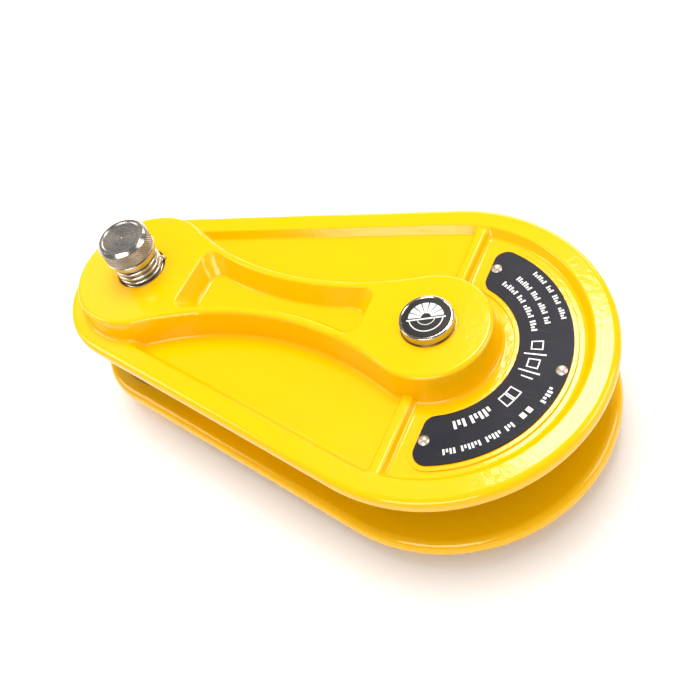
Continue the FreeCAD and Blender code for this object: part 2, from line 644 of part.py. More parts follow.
def sheave(label, bush_radius, tread, groove, rim, x="0", dished=False):
    """Grooved sheave turned about Z. The groove's round floor runs into flared walls."""
    bore_radius = f"{bush_radius} + sizes.seat_fit"
    flare = "sizes.groove_flare * 1 deg"
    touch = f"({tread} + {groove} - {groove} * sin({flare}))"
    half = f"({groove} * cos({flare}))"
    mouth = f"({half} + ({rim} - {touch}) * tan({flare}))"
    dish = f"({SHEAVE_SIDE} - sizes.dish_depth)"
    hub = f"({bush_radius} + sizes.hub_wall)"
    rim_inner = f"({tread} - sizes.dish_rim)"
    slope = "sizes.dish_depth / 3"
    side = [
        (bore_radius, SHEAVE_SIDE),
        (hub, SHEAVE_SIDE),
        (f"{hub} + {slope}", dish),
        (f"{rim_inner} - {slope}", dish),
        (rim_inner, SHEAVE_SIDE),
        (rim, SHEAVE_SIDE),
        (rim, mouth),
    ]
    if not dished:
        del side[1:5]
    back = [(radius, f"-{height}") for radius, height in side]
    corners = back + [(touch, f"-{half}", groove, -1), (touch, half)] + side[::-1]
    body = turned(label, corners, x)
    lip_round = f"min(sizes.groove_lip_round; 0.45 * ({SHEAVE_SIDE} - {mouth}))"
    edges = rings_at(rim, mouth, f"-{mouth}", SHEAVE_SIDE, f"-{SHEAVE_SIDE}")
    round_edges(body, edges, lip_round, "lips")


def rope_sheave():
    shaft = "sizes.axle_radius + sizes.run_fit"
    bush = f"({shaft} + sizes.rope_bush_wall)"
    rim = "(sizes.big_end_radius - sizes.rope_sheave_inset)"
    sheave("rope_sheave", bush, f"({rim} - sizes.rope_groove_depth)",
           "sizes.rope_groove_radius", rim, dished=True)
    ring("rope_sheave_bush", shaft, bush, f"-{SHEAVE_SIDE}", SHEAVE_SIDE)
    side_washers("rope_sheave", f"{shaft} + sizes.side_gap", "sizes.washer_width")


def sling_sheave():
    post = "-sizes.axle_spacing"
    shaft = f"{POST_RADIUS} + sizes.run_fit"
    bush = f"({shaft} + sizes.sling_bush_wall)"
    tread = f"({bush} + sizes.sling_tread_wall)"
    sheave("sling_sheave", bush, tread, "sizes.sling_groove_radius",
           f"({tread} + sizes.sling_groove_depth)", post)
    ring("sling_sheave_bush", shaft, bush, f"-{SHEAVE_SIDE}", SHEAVE_SIDE, post)
    side_washers("sling_sheave", f"{shaft} + sizes.side_gap", "sizes.sling_washer_width", post)


# --- sling post -----------------------------------------------------------------------------------

def sling_post():
    """Hollow-topped post. The latch drops into its cavity through the slotted ring."""
    ring_seat = f"({POST_TOP} - sizes.socket_ring_thickness)"
    lug_bottom = "(sizes.lug_recess - sizes.latch_travel)"
    cavity_floor = f"({FACE} + {lug_bottom} - sizes.lug_clearance - sizes.bayonet_gap)"
    thread = "sizes.post_screw_radius + sizes.seat_fit"
    foot = f"-({FACE})"
    spigot = f"(-({FACE}) - sizes.post_spigot_length)"
    thread_end = f"({spigot} + sizes.post_screw_engagement)"
    seat = f"{SOCKET_RING} + sizes.seat_fit"
    neck = f"({POST_RADIUS} - sizes.spigot_step)"
    body = turned("sling_post", [
        (thread, spigot),
        (neck, spigot),
        (neck, foot),
        (POST_RADIUS, foot),
        (POST_RADIUS, POST_TOP),
        (seat, POST_TOP),
        (seat, ring_seat),
        (CHAMBER_RADIUS, ring_seat),
        (CHAMBER_RADIUS, cavity_floor),
        ("0", cavity_floor),
        ("0", thread_end),
        (thread, thread_end),
    ], "-sizes.axle_spacing")
    for name, side in (("upper", ""), ("lower", "-")):
        bore(body, f"{name}_dowel_hole", "sizes.dowel_radius + sizes.seat_fit", foot,
             "sizes.dowel_length / 2", "0", f"{side}{DOWEL_OFFSET}")

    throat = "sizes.latch_shaft_radius + sizes.lug_clearance"
    body = ring("bayonet_ring", throat, SOCKET_RING, ring_seat, POST_TOP,
                "-sizes.axle_spacing")
    sketch = new_sketch(body, "slot", height=ring_seat)
    reach = f"({LUG_REACH} + sizes.lug_clearance)"
    half = "(sizes.lug_width / 2 + sizes.lug_clearance)"
    outline(sketch, [(f"-{reach}", f"-{half}"), (reach, f"-{half}"), (reach, half),
                     (f"-{reach}", half)])
    extrude(body, sketch, "sizes.socket_ring_thickness", "Pocket", down=True)


def post_fixings():
    """Screw and washer that hold the post down, and the dowels that stop it turning."""
    post = "-sizes.axle_spacing"
    seat = f"-({FACE} + {SCREW_FLOOR})"
    under_head = f"({seat} - sizes.screw_washer_thickness)"
    top = f"(-({FACE}) - sizes.post_spigot_length + sizes.post_screw_engagement"
    top += " - sizes.edge_break)"
    hole = "sizes.post_screw_radius + sizes.screw_hole_clearance"
    ring("post_screw_washer", hole, "sizes.post_screw_head_radius", under_head, seat, post)
    back = f"({under_head} - sizes.post_screw_head)"
    body = turned("post_screw", [
        ("0", back),
        ("sizes.post_screw_head_radius", back),
        ("sizes.post_screw_head_radius", under_head),
        ("sizes.post_screw_radius", under_head),
        ("sizes.post_screw_radius", top),
        ("0", top),
    ], post)
    break_rim(body, back)
    sketch = new_sketch(body, "socket", height=back)
    corners = [
        (f"sizes.socket_radius * cos({angle} deg)", f"sizes.socket_radius * sin({angle} deg)")
        for angle in range(30, 390, 60)
    ]
    outline(sketch, corners)
    extrude(body, sketch, "sizes.socket_depth", "Pocket", down=True)

    dowels = []
    for name, side in (("upper", ""), ("lower", "-")):
        dowel = doc.addObject("Part::Cylinder", f"{name}_dowel")
        dowel.setExpression("Radius", "sizes.dowel_radius * 1 mm")
        dowel.setExpression("Height", "sizes.dowel_length * 1 mm")
        dowel.setExpression("Placement.Base.x", "-sizes.axle_spacing * 1 mm")
        dowel.setExpression("Placement.Base.y", f"{side}{DOWEL_OFFSET} * 1 mm")
        dowel.setExpression("Placement.Base.z", f"(-({FACE}) - sizes.dowel_length / 2) * 1 mm")
        dowels.append(dowel)
    group = doc.addObject("Part::Compound", "post_dowels")
    group.Label = "post_dowels"
    group.Links = dowels
    subparts.append(group)


# --- latch: heights from the front cheek's inner face ---------------------------------------------

def latch_pin():
    """Latch shaft with two bayonet lugs at its foot and a neck for the knob."""
    nose = "sizes.lug_recess"
    shoulder = KNOB_FOOT
    neck = f"{shoulder} + sizes.latch_neck_length"
    body = turned("latch_pin", [
        ("0", nose),
        ("sizes.latch_shaft_radius - sizes.edge_break", nose),
        ("sizes.latch_shaft_radius", f"{nose} + sizes.edge_break"),
        ("sizes.latch_shaft_radius", shoulder),
        (LATCH_NECK, shoulder),
        (LATCH_NECK, neck),
        ("0", neck),
    ], "-sizes.axle_spacing", FACE)
    sketch = new_sketch(body, "lugs", height=nose)
    half = "(sizes.lug_width / 2)"
    outline(sketch, [(f"-{LUG_REACH}", f"-{half}"), (LUG_REACH, f"-{half}"),
                     (LUG_REACH, half), (f"-{LUG_REACH}", half)])
    extrude(body, sketch, "sizes.lug_height")
    cross_hole(body)


def cross_hole(body):
    """Hole for the cross pin, through the knob or the neck."""
    hole = body.newObject("PartDesign::SubtractiveCylinder", f"{body.Label}_cross_hole")
    hole.setExpression("Radius", "(sizes.cross_pin_radius + sizes.seat_fit) * 1 mm")
    hole.setExpression("Height", f"{KNOB_RADIUS} * 4 * 1 mm")
    lay_across(hole, f"{KNOB_RADIUS} * 2")
    doc.recompute()


def lay_across(piece, half_length, x="0", z="0"):
    """Turns a cylinder to lie across the latch's axis at the cross pin's angle and height."""
    angle = math.radians(size("sizes.cross_pin_angle"))
    way = FreeCAD.Vector(math.cos(angle), math.sin(angle), 0)
    turn = FreeCAD.Rotation(FreeCAD.Vector(0, 0, 1), way)
    centre = FreeCAD.Vector(size(x), 0, size(z) + size(CROSS_PIN_HEIGHT))
    piece.Placement = FreeCAD.Placement(centre - way * size(half_length), turn)
    direction = "sizes.cross_pin_angle * 1 deg"
    piece.setExpression("Placement.Base.x", f"({x} - ({half_length}) * cos({direction})) * 1 mm")
    piece.setExpression("Placement.Base.y", f"-({half_length}) * sin({direction}) * 1 mm")
    piece.setExpression("Placement.Base.z", f"({z} + {CROSS_PIN_HEIGHT}) * 1 mm")


def latch_knob():
    collar = f"({KNOB_FOOT} + sizes.knob_collar_height)"
    groove = f"({collar} + sizes.knob_groove_height)"
    band = f"({groove} + sizes.knob_band_height)"
    top = f"({band} + sizes.knob_chamfer)"
    bore_top = f"({KNOB_FOOT} + sizes.latch_neck_length + sizes.side_gap)"
    neck = f"{LATCH_NECK} + sizes.seat_fit"
    collar_radius = f"{KNOB_RADIUS} - sizes.knob_collar_step"
    groove_radius = f"{KNOB_RADIUS} - sizes.knob_groove_depth"
    dish = f"({KNOB_RADIUS} - sizes.knob_chamfer - sizes.knob_dish_margin)"
    body = turned("latch_knob", [
        (neck, KNOB_FOOT),
        (collar_radius, KNOB_FOOT),
        (collar_radius, collar),
        (groove_radius, collar),
        (groove_radius, groove),
        (KNOB_RADIUS, groove),
        (KNOB_RADIUS, band),
        (f"{KNOB_RADIUS} - sizes.knob_chamfer", top),
        (dish, top),
        (f"{dish} - sizes.knob_dish", f"{top} - sizes.knob_dish"),
        ("0", f"{top} - sizes.knob_dish"),
        ("0", bore_top),
        (neck, bore_top),
    ], "-sizes.axle_spacing", FACE)
    cross_hole(body)
    pin = doc.addObject("Part::Cylinder", "knob_cross_pin")
    pin.Label = "knob_cross_pin"
    pin.setExpression("Radius", "sizes.cross_pin_radius * 1 mm")
    half_length = f"({KNOB_RADIUS} - sizes.cross_pin_recess)"
    pin.setExpression("Height", f"{half_length} * 2 * 1 mm")
    lay_across(pin, half_length, "-sizes.axle_spacing", FACE)
    subparts.append(pin)


def latch_spring():
    """Coil spring between its seat in the cheek and the washer under the knob."""
    body = new_body("latch_spring")
    sketch = new_sketch(body, "wire", "XZ_Plane")
    mean = f"({SPRING_RADIUS} - sizes.spring_wire_radius)"
    top = f"({KNOB_FOOT} - sizes.run_fit - sizes.thrust_washer_thickness)"
    wire = Part.Circle(
        FreeCAD.Vector(size(mean), size(f"{SPRING_FOOT} + sizes.spring_wire_radius"), 0),
        FreeCAD.Vector(0, 0, 1),
        size("sizes.spring_wire_radius"),
    )
    sketch.addGeometry(wire)
    pin_point(sketch, 0, 3, mean, f"({SPRING_FOOT} + sizes.spring_wire_radius)")
    bind(sketch, "Radius", 0, to="sizes.spring_wire_radius")
    coil = body.newObject("PartDesign::AdditiveHelix", "latch_spring_coil")
    coil.Profile = sketch
    coil.ReferenceAxis = (sketch, ["V_Axis"])
    coil.Mode = "height-turns-angle"
    coil.setExpression("Height", f"({top} - {SPRING_FOOT} - 2 * sizes.spring_wire_radius) * 1 mm")
    coil.setExpression("Turns", "sizes.spring_turns")
    place(body, "-sizes.axle_spacing", FACE)
    doc.recompute()


def latch_rings():
    """Guide bush, spring seat and the thrust washer that the knob turns on."""
    post = "-sizes.axle_spacing"
    shaft = "sizes.latch_shaft_radius + sizes.run_fit"
    ring("guide_bush", shaft, f"{shaft} + sizes.guide_wall", CHAMBER_TOP, GUIDE_TOP, post, FACE)
    ring("spring_seat", f"{shaft} + sizes.side_gap",
         f"{SPRING_BORE} - sizes.side_gap", GUIDE_TOP, SPRING_FOOT, post, FACE)
    top = f"({KNOB_FOOT} - sizes.run_fit)"
    ring("latch_thrust_washer", f"{shaft} + sizes.side_gap",
         f"{SPRING_RADIUS} + sizes.thrust_washer_overhang",
         f"{top} - sizes.thrust_washer_thickness", top, post, FACE)


def swing_bush():
    shaft = "sizes.axle_radius + sizes.run_fit"
    ring("swing_bush", shaft, f"{shaft} + sizes.swing_bush_wall", "0", "sizes.spine_height",
         z=FACE)


back_cheek()
front_cheek()
swing_bush()
rating_plate()
plate_rivets()
axle()
axle_cap()
rope_sheave()
sling_sheave()
sling_post()
post_fixings()
latch_pin()
latch_knob()
latch_spring()
latch_rings()

doc.recompute()
faults = [f"{o.Label}: {o.State}" for o in doc.Objects if {"Invalid", "Error"} & set(o.State)]
for piece in subparts:
    shape = piece.Shape
    if shape.isNull() or not shape.isValid() or not shape.Solids:
        faults.append(f"{piece.Label}: bad shape")
if faults:
    raise RuntimeError("; ".join(faults))

os.makedirs("parts", exist_ok=True)
for piece in subparts:
    piece.Shape.exportStep(os.path.join("parts", f"{piece.Label}.step"))
    print(f"{piece.Label}: {len(piece.Shape.Solids)} solid, {piece.Shape.Volume:.0f} mm3")
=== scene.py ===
import math

import bmesh
import bpy
from mathutils import Matrix, Quaternion, Vector


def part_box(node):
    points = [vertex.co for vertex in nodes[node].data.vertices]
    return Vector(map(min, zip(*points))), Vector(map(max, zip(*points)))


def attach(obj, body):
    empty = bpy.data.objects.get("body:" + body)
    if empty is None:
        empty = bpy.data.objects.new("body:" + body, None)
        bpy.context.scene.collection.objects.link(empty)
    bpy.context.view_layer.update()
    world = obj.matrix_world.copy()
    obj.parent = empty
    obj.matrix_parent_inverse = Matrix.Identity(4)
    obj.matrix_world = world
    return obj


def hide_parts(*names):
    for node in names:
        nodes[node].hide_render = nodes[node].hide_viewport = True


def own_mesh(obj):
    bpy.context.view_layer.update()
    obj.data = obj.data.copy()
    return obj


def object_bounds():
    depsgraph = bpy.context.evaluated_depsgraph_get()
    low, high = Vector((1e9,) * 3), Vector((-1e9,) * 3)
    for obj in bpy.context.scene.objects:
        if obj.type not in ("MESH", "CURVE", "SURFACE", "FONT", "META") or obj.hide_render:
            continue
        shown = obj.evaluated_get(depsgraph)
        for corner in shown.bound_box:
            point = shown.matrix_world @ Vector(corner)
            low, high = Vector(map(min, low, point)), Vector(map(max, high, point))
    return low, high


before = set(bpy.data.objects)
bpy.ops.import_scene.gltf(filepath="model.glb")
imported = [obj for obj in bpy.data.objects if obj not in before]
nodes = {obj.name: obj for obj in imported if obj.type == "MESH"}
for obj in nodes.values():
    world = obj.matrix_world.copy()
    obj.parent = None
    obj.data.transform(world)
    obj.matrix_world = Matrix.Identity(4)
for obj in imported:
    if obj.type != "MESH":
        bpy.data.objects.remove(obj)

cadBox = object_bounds()


# Where things are, read from the frame

def centreOf(node):
    low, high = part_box(node)
    return (low + high) / 2


def radiusOf(node):
    low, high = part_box(node)
    return (high.x - low.x) / 2


axleCentre = centreOf("rope_sheave")
postCentre = centreOf("sling_sheave")
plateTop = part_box("rating_plate")[1].z


# Mesh helpers

def finishPiece(name, bm, body, material, replaces=(), sharpAngle=32):
    # welds the mesh, turns its faces outwards and hands it to its body
    bmesh.ops.remove_doubles(bm, verts=bm.verts, dist=1e-6)
    bmesh.ops.recalc_face_normals(bm, faces=bm.faces)
    mesh = bpy.data.meshes.new(name)
    bm.to_mesh(mesh)
    bm.free()
    mesh.shade_smooth()
    mesh.set_sharp_from_angle(angle=math.radians(sharpAngle))
    mesh.materials.append(material)
    piece = bpy.data.objects.new(name, mesh)
    bpy.context.scene.collection.objects.link(piece)
    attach(piece, body)
    if replaces:
        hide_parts(*replaces)
    return piece


def spunSolid(profile, centre, steps):
    # turns (radius, height) points about the vertical through centre
    bm = bmesh.new()
    verts = [bm.verts.new((centre.x + radius, centre.y, height)) for radius, height in profile]
    edges = [bm.edges.new(pair) for pair in zip(verts, verts[1:])]
    bmesh.ops.spin(bm, geom=verts + edges, cent=centre, axis=(0, 0, 1), dvec=(0, 0, 0),
                   angle=math.tau, steps=steps, use_merge=True, use_duplicate=False)
    return bm


arcStep = 0.0012


def arcBar(bm, centre, radii, angles, heights):
    # raised bar with its long sides concentric about centre, in steps of about arcStep metres
    inner, outer = radii
    low, high = heights
    start, end = (math.radians(angle) for angle in angles)
    steps = max(1, round((end - start) * outer / arcStep))
    corners = [(inner, low), (outer, low), (outer, high), (inner, high)]
    way = Vector((math.cos(start), math.sin(start), 0))
    verts = [bm.verts.new(Vector((centre.x, centre.y, 0)) + way * r + Vector((0, 0, h)))
             for r, h in corners]
    face = bm.faces.new(verts)
    bmesh.ops.spin(bm, geom=[face], cent=centre, axis=(0, 0, 1), dvec=(0, 0, 0),
                   angle=end - start, steps=steps, use_merge=False, use_duplicate=False)


# Shader helpers

def nodeGroup(name, inputs, outputs):
    group = bpy.data.node_groups.new(name, "ShaderNodeTree")
    for label, kind, value in inputs:
        socket = group.interface.new_socket(label, in_out="INPUT", socket_type=kind)
        if value is not None:
            socket.default_value = value
    for label, kind in outputs:
        group.interface.new_socket(label, in_out="OUTPUT", socket_type=kind)
    group.nodes.new("NodeGroupInput").name = "in"
    group.nodes.new("NodeGroupOutput").name = "out"
    return group


def feed(tree, socket, source):
    # source is another node's output or a plain value
    if isinstance(source, bpy.types.NodeSocket):
        tree.links.new(source, socket)
    else:
        socket.default_value = source


def addNode(tree, kind, links=(), **settings):
    # a node with its plain settings, its socket values and its incoming links
    node = tree.nodes.new(kind)
    for key, value in settings.items():
        setattr(node, key, value)
    for socket, source in dict(links).items():
        feed(tree, node.inputs[socket], source)
    return node


def mathNode(tree, operation, *values):
    node = addNode(tree, "ShaderNodeMath", operation=operation)
    for socket, value in zip(node.inputs, values):
        feed(tree, socket, value)
    return node.outputs[0]


def spreadNode(tree, value, low, high):
    # maps 0..1 to low..high
    node = addNode(tree, "ShaderNodeMapRange", {"Value": value, "To Min": low, "To Max": high})
    return node.outputs["Result"]


def buildTurnedLines():
    # fine concentric tool marks about the pattern's own Z axis
    group = nodeGroup("turnedLines",
                      [("Vector", "NodeSocketVector", None), ("Pitch", "NodeSocketFloat", 0.0004),
                       ("Waver", "NodeSocketFloat", 0.3)],
                      [("Height", "NodeSocketFloat"), ("Tone", "NodeSocketFloat")])
    source, sink = group.nodes["in"], group.nodes["out"]
    parts = addNode(group, "ShaderNodeSeparateXYZ", {"Vector": source.outputs["Vector"]})
    across = addNode(group, "ShaderNodeCombineXYZ", {"X": parts.outputs["X"], "Y": parts.outputs["Y"]})
    radius = addNode(group, "ShaderNodeVectorMath", {0: across.outputs[0]}, operation="LENGTH")
    along = mathNode(group, "ADD", radius.outputs["Value"], parts.outputs["Z"])
    turns = mathNode(group, "DIVIDE", along, source.outputs["Pitch"])
    noise = addNode(group, "ShaderNodeTexNoise", {"W": turns, "Scale": 0.31, "Detail": 3.0},
                    noise_dimensions="1D")
    wave = mathNode(group, "SINE", mathNode(group, "MULTIPLY", turns, math.tau))
    uneven = mathNode(group, "MULTIPLY", noise.outputs["Fac"], source.outputs["Waver"])
    height = mathNode(group, "ADD", mathNode(group, "MULTIPLY", wave, 0.25), uneven)
    group.links.new(height, sink.inputs["Height"])
    group.links.new(noise.outputs["Fac"], sink.inputs["Tone"])
    return group


def buildHandling():
    # hairline scratches and smudges from handling
    group = nodeGroup("handling",
                      [("Vector", "NodeSocketVector", None), ("Scratches", "NodeSocketFloat", 0.5)],
                      [("Smudge", "NodeSocketFloat"), ("Scratch", "NodeSocketFloat")])
    source, sink = group.nodes["in"], group.nodes["out"]
    smudge = addNode(group, "ShaderNodeTexNoise",
                     {"Vector": source.outputs["Vector"], "Scale": 55.0, "Detail": 5.0})
    total = None
    for angle, stretch in ((0.4, 14.0), (1.9, 22.0)):
        turned = addNode(group, "ShaderNodeMapping",
                         {"Vector": source.outputs["Vector"], "Rotation": (0.2, 0.1, angle),
                          "Scale": (70.0, 70.0 * stretch, 70.0)})
        lines = addNode(group, "ShaderNodeTexNoise",
                        {"Vector": turned.outputs[0], "Scale": 1.0, "Detail": 2.0})
        mark = addNode(group, "ShaderNodeMapRange",
                       {"Value": lines.outputs["Fac"], "From Min": 0.66, "From Max": 0.74})
        total = mark.outputs[0] if total is None else mathNode(group, "MAXIMUM", total, mark.outputs[0])
    scratch = mathNode(group, "MULTIPLY", total, source.outputs["Scratches"])
    group.links.new(smudge.outputs["Fac"], sink.inputs["Smudge"])
    group.links.new(scratch, sink.inputs["Scratch"])
    return group


def buildOrangePeel():
    # low waves of a sprayed and baked coat, in two sizes
    group = nodeGroup("orangePeel",
                      [("Vector", "NodeSocketVector", None), ("Scale", "NodeSocketFloat", 300.0)],
                      [("Height", "NodeSocketFloat")])
    source, sink = group.nodes["in"], group.nodes["out"]
    broad = addNode(group, "ShaderNodeTexNoise",
                    {"Vector": source.outputs["Vector"], "Scale": source.outputs["Scale"], "Detail": 1.0})
    fineScale = mathNode(group, "MULTIPLY", source.outputs["Scale"], 3.4)
    fine = addNode(group, "ShaderNodeTexNoise",
                   {"Vector": source.outputs["Vector"], "Scale": fineScale, "Detail": 2.0})
    fineShare = mathNode(group, "MULTIPLY", fine.outputs["Fac"], 0.22)
    group.links.new(mathNode(group, "ADD", broad.outputs["Fac"], fineShare), sink.inputs["Height"])
    return group


turnedLines = buildTurnedLines()
handling = buildHandling()
orangePeel = buildOrangePeel()


def newMaterial(name, **values):
    # Principled material whose plain values sit on the shader's own sockets
    material = bpy.data.materials.new(name)
    material.use_nodes = True
    shader = material.node_tree.nodes["Principled BSDF"]
    for label, value in values.items():
        shader.inputs[label.replace("_", " ")].default_value = value
    return material, material.node_tree, shader


def localVector(tree, centre=(0, 0, 0)):
    # object coordinates measured from centre
    coordinate = addNode(tree, "ShaderNodeTexCoord")
    return addNode(tree, "ShaderNodeMapping", {"Vector": coordinate.outputs["Object"],
                                               "Location": tuple(-c for c in centre)}).outputs[0]


def placeGroup(tree, group, links):
    return addNode(tree, "ShaderNodeGroup", links, node_tree=group)


def mixColours(tree, factor, first, second):
    # inputs 0, 6 and 7 are the factor and the two colours, and output 2 is their mix
    node = addNode(tree, "ShaderNodeMix", {0: factor, 6: first, 7: second}, data_type="RGBA")
    return node.outputs[2]


def bumpFrom(tree, shader, height, distance):
    bump = addNode(tree, "ShaderNodeBump", {"Height": height, "Distance": distance, "Strength": 1.0})
    tree.links.new(bump.outputs[0], shader.inputs["Normal"])


coat = {"colour": (0.95, 0.515, 0.0, 1), "deeper": (0.91, 0.46, 0.0, 1), "roughness": 0.1,
        "waveScale": 300.0, "waveHeight": 0.0001}


def coatedMaterial():
    material, tree, shader = newMaterial("yellowCoat", Specular_IOR_Level=0.35)
    place = localVector(tree)
    marks = placeGroup(tree, handling, {"Vector": place, "Scratches": 0.06})
    colour = mixColours(tree, spreadNode(tree, marks.outputs["Smudge"], 0, 0.35),
                        coat["colour"], coat["deeper"])
    tree.links.new(colour, shader.inputs["Base Color"])
    rough = mathNode(tree, "ADD", spreadNode(tree, marks.outputs["Smudge"], -0.04, 0.08),
                     coat["roughness"])
    tree.links.new(mathNode(tree, "ADD", rough, marks.outputs["Scratch"]), shader.inputs["Roughness"])
    waves = placeGroup(tree, orangePeel, {"Vector": place, "Scale": coat["waveScale"]})
    bumpFrom(tree, shader, waves.outputs["Height"], coat["waveHeight"])
    return material


def turnedMetal(name, centre, colour, dark, roughness, pitch, depth, scratches=0.3, metallic=1.0):
    # machined metal with tool marks about the vertical through centre
    material, tree, shader = newMaterial(name, Metallic=metallic)
    place = localVector(tree, centre)
    lines = placeGroup(tree, turnedLines, {"Vector": place, "Pitch": pitch, "Waver": 0.6})
    marks = placeGroup(tree, handling, {"Vector": place, "Scratches": scratches})
    tone = mathNode(tree, "MULTIPLY", lines.outputs["Tone"], marks.outputs["Smudge"])
    tree.links.new(mixColours(tree, spreadNode(tree, tone, 0, 1.6), dark, colour),
                   shader.inputs["Base Color"])
    rough = mathNode(tree, "ADD", spreadNode(tree, marks.outputs["Smudge"], -0.05, 0.09), roughness)
    dull = mathNode(tree, "MULTIPLY", marks.outputs["Scratch"], 0.4)
    tree.links.new(mathNode(tree, "ADD", rough, dull), shader.inputs["Roughness"])
    bumpFrom(tree, shader, lines.outputs["Height"], depth)
    return material


brightSteel = {"dark": (0.42, 0.41, 0.39, 1), "pale": (0.74, 0.73, 0.71, 1), "scratchDepth": 0.00001}


def smoothSteel(name, centre, sheen):
    # bright metal with no tool marks; sheen is its lowest and highest roughness
    material, tree, shader = newMaterial(name, Metallic=1.0)
    place = localVector(tree, centre)
    marks = placeGroup(tree, handling, {"Vector": place, "Scratches": 0.5})
    colour = mixColours(tree, marks.outputs["Smudge"], brightSteel["dark"], brightSteel["pale"])
    tree.links.new(colour, shader.inputs["Base Color"])
    tree.links.new(spreadNode(tree, marks.outputs["Smudge"], *sheen), shader.inputs["Roughness"])
    bumpFrom(tree, shader, marks.outputs["Scratch"], brightSteel["scratchDepth"])
    return material


plate = {"dark": (0.009, 0.010, 0.015, 1), "pale": (0.022, 0.025, 0.037, 1),
         "scratched": (0.13, 0.135, 0.16, 1), "sheen": (0.42, 0.58),
         "grain": (1200.0, 9000.0, 1200.0), "grainDepth": 0.00002}


def anodisedPlate():
    material, tree, shader = newMaterial("anodisedPlate", Metallic=0.5, Specular_IOR_Level=0.25)
    place = localVector(tree, axleCentre)
    grainPlace = addNode(tree, "ShaderNodeMapping", {"Vector": place, "Scale": plate["grain"]})
    grain = addNode(tree, "ShaderNodeTexNoise",
                    {"Vector": grainPlace.outputs[0], "Scale": 1.0, "Detail": 2.0})
    marks = placeGroup(tree, handling, {"Vector": place, "Scratches": 0.12})
    base = mixColours(tree, marks.outputs["Smudge"], plate["dark"], plate["pale"])
    tree.links.new(mixColours(tree, marks.outputs["Scratch"], base, plate["scratched"]),
                   shader.inputs["Base Color"])
    tree.links.new(spreadNode(tree, grain.outputs["Fac"], *plate["sheen"]), shader.inputs["Roughness"])
    bumpFrom(tree, shader, grain.outputs["Fac"], plate["grainDepth"])
    return material


etched = {"dark": (0.50, 0.51, 0.53, 1), "pale": (0.82, 0.83, 0.84, 1), "sheen": (0.35, 0.6)}


def paleMarking():
    material, tree, shader = newMaterial("paleMarking", Metallic=0.25)
    marks = placeGroup(tree, handling, {"Vector": localVector(tree, axleCentre), "Scratches": 0.4})
    colour = mixColours(tree, marks.outputs["Smudge"], etched["dark"], etched["pale"])
    tree.links.new(colour, shader.inputs["Base Color"])
    tree.links.new(spreadNode(tree, marks.outputs["Smudge"], *etched["sheen"]), shader.inputs["Roughness"])
    return material


plastic = {"dark": (0.006, 0.006, 0.007, 1), "pale": (0.016, 0.015, 0.015, 1),
           "grainScale": 1500.0, "grainDepth": 0.00003}


def mouldedPlastic(name, centre, roughness):
    material, tree, shader = newMaterial(name, Specular_IOR_Level=0.25)
    place = localVector(tree, centre)
    marks = placeGroup(tree, handling, {"Vector": place, "Scratches": 0.4})
    peel = placeGroup(tree, orangePeel, {"Vector": place, "Scale": plastic["grainScale"]})
    colour = mixColours(tree, marks.outputs["Smudge"], plastic["dark"], plastic["pale"])
    tree.links.new(colour, shader.inputs["Base Color"])
    tree.links.new(spreadNode(tree, marks.outputs["Smudge"], roughness - 0.06, roughness + 0.1),
                   shader.inputs["Roughness"])
    bumpFrom(tree, shader, peel.outputs["Height"], plastic["grainDepth"])
    return material


print("materials")
steelPale, steelDark = (0.70, 0.69, 0.67, 1), (0.40, 0.385, 0.36, 1)
yellowCoat = coatedMaterial()
turnedFinishes = {
    # pitch and depth of the tool marks are in metres
    "finePolish": {"colour": steelPale, "dark": steelDark, "roughness": 0.16,
                   "pitch": 0.0005, "depth": 0.000012},
    "turnedPolish": {"colour": steelPale, "dark": steelDark, "roughness": 0.2,
                     "pitch": 0.00036, "depth": 0.00004},
    "groundSteel": {"colour": (0.6, 0.6, 0.6, 1), "dark": (0.34, 0.34, 0.34, 1), "roughness": 0.3,
                    "pitch": 0.0006, "depth": 0.00003},
    "bronze": {"colour": (0.62, 0.40, 0.17, 1), "dark": (0.34, 0.2, 0.08, 1), "roughness": 0.32,
               "pitch": 0.0006, "depth": 0.00003},
    "darkAlloy": {"colour": (0.16, 0.16, 0.17, 1), "dark": (0.06, 0.06, 0.065, 1), "roughness": 0.36,
                  "pitch": 0.0009, "depth": 0.00005, "metallic": 0.85},
}


def turnedPair(name):
    # the same finish about the axle and about the post
    look = turnedFinishes[name]
    return turnedMetal(name + "Axle", axleCentre, **look), turnedMetal(name + "Post", postCentre, **look)


polishedAxle = turnedMetal("polishedSteelAxle", axleCentre, **turnedFinishes["finePolish"])
polishedPost = turnedMetal("polishedSteelPost", postCentre, **turnedFinishes["turnedPolish"])
groundAxle, groundPost = turnedPair("groundSteel")
bronzeAxle, bronzePost = turnedPair("bronze")
alloyAxle, alloyPost = turnedPair("darkAlloy")
wireSteel = smoothSteel("drawnWire", postCentre, (0.16, 0.34))
rivetSteel = smoothSteel("domedRivet", axleCentre, (0.42, 0.54))
plateBlue = anodisedPlate()
plateMarking = paleMarking()
blackAxle = mouldedPlastic("blackPlasticAxle", axleCentre, 0.3)
blackPost = mouldedPlastic("blackPlasticPost", postCentre, 0.4)

